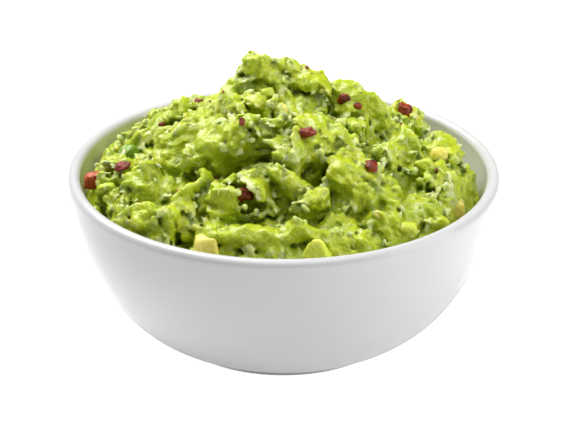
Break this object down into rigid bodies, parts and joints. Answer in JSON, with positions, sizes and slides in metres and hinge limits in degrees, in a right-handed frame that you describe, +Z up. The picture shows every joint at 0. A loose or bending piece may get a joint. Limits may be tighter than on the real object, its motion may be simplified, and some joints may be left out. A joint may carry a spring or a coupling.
{
  "type": "bowl of guacamole",
  "caption": "Mashed avocado dip heaped above the rim of a round white bowl, dotted with diced tomato, green pepper and avocado chunks, served with its bowl.",
  "frame": {"origin": "middle of the bowl's foot, on the surface that the bowl stands on", "axes": "+Z up through the middle of the bowl, +X to the right and -Y towards the viewer"},
  "size_m": [0.15, 0.15, 0.1018],
  "materials": {
    "glaze": "glossy white glaze",
    "mash": "moist mashed avocado",
    "ripe_avocado": "soft pale yellow avocado flesh",
    "green_avocado": "soft light green avocado flesh",
    "tomato": "wet red tomato",
    "green_pepper": "crisp wet green pepper skin"
  },
  "bodies": {
    "root": {"bowl": "glaze", "guacamole": "mash", "avocado_chunk_front": "ripe_avocado", "avocado_chunk_right": "ripe_avocado", "avocado_chunk_side": "green_avocado", "avocado_tip_front": "green_avocado", "avocado_lump_top": "ripe_avocado", "avocado_lump_right": "ripe_avocado", "tomato_dice_left": "tomato", "tomato_piece_left": "tomato", "tomato_piece_middle": "tomato", "tomato_piece_hollow": "tomato", "tomato_piece_slab": "tomato", "tomato_piece_top": "tomato", "tomato_piece_back": "tomato", "pepper_strip_left": "green_pepper", "pepper_strip_low": "green_pepper"}
  },
  "joints": []
}
